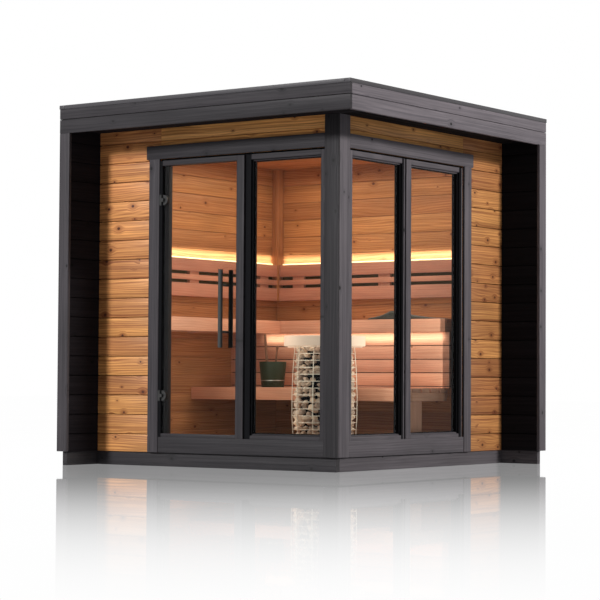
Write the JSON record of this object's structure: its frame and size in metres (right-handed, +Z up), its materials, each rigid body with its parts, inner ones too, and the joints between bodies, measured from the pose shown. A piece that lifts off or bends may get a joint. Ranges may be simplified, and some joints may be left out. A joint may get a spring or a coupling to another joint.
{
  "type": "outdoor sauna cabin",
  "caption": "Square flat-roofed sauna cabin with a glazed corner, a hinged glass door, an overhanging roof, L-shaped benches and a tower heater of stones.",
  "frame": {"origin": "middle of the footprint on the ground, under the roof's centre", "axes": "+Z up; -Y out of the face with the door; +X out of the second glazed face"},
  "size_m": [2.332, 2.332, 2.35],
  "materials": {
    "dark_wood": "dark stained softwood boards",
    "outer_wood": "oiled softwood boards",
    "inner_wood": "planed softwood boards",
    "bench_wood": "smooth pale bench wood",
    "roof_board": "rough timber",
    "roof_felt": "matt roofing membrane",
    "flashing": "satin grey coated sheet",
    "glass": "clear toughened glass",
    "satin_steel": "satin",
    "black_steel": "satin black",
    "cage_steel": "bright wire",
    "stone": "rough grey-beige stone",
    "light": "warm light diffuser",
    "bucket": "dark green",
    "ladle": "brown wood",
    "cushion": "grey-green cloth"
  },
  "bodies": {
    "cabin": {"back_backrest": "bench_wood", "back_cladding": "dark_wood", "back_lining": "inner_wood", "back_wall": "dark_wood", "bench_legs": "bench_wood", "bench_skirt": "bench_wood", "bucket": "bucket", "casing_headers": "dark_wood", "casing_sides": "dark_wood", "ceiling": "inner_wood", "corner_batten": "inner_wood", "corner_post": "dark_wood", "corner_trim": "dark_wood", "door_jambs": "dark_wood", "door_rails": "dark_wood", "fin_trims": "dark_wood", "flashing_ends": "flashing", "flashing_sides": "flashing", "floor_deck": "inner_wood", "front_fascia": "dark_wood", "front_wall": "outer_wood", "front_window_glass": "glass", "front_window_rails": "dark_wood", "front_window_stiles": "dark_wood", "head_fillers": "dark_wood", "headrest": "cushion", "heater_base": "black_steel", "heater_cage": "cage_steel", "heater_guard": "bench_wood", "heater_stones": "stone", "hinge_plates": "satin_steel", "ladles": "ladle", "left_backrest": "bench_wood", "left_cladding": "dark_wood", "left_lining": "inner_wood", "left_wall": "dark_wood", "light_strips": "light", "lintels": "outer_wood", "lower_bench": "bench_wood", "mullion_fillers": "dark_wood", "plinth_ends": "dark_wood", "plinth_sides": "dark_wood", "right_fascia": "dark_wood", "right_wall": "outer_wood", "right_window_glass": "glass", "right_window_rails": "dark_wood", "right_window_stiles": "dark_wood", "roof_deck": "roof_board", "roof_membrane": "roof_felt", "sills": "dark_wood", "soffit": "dark_wood", "upper_bench_back": "bench_wood", "upper_bench_left": "bench_wood"},
    "door": {"door_glass": "glass", "door_handle": "black_steel", "door_clamps": "satin_steel"}
  },
  "joints": [
    {"name": "door_hinge", "type": "hinge", "parent": "cabin", "child": "door", "pos_m": [-0.529, -0.8825, 1.0895], "axis": [0, 0, -1], "range_deg": [0, 105]}
  ]
}
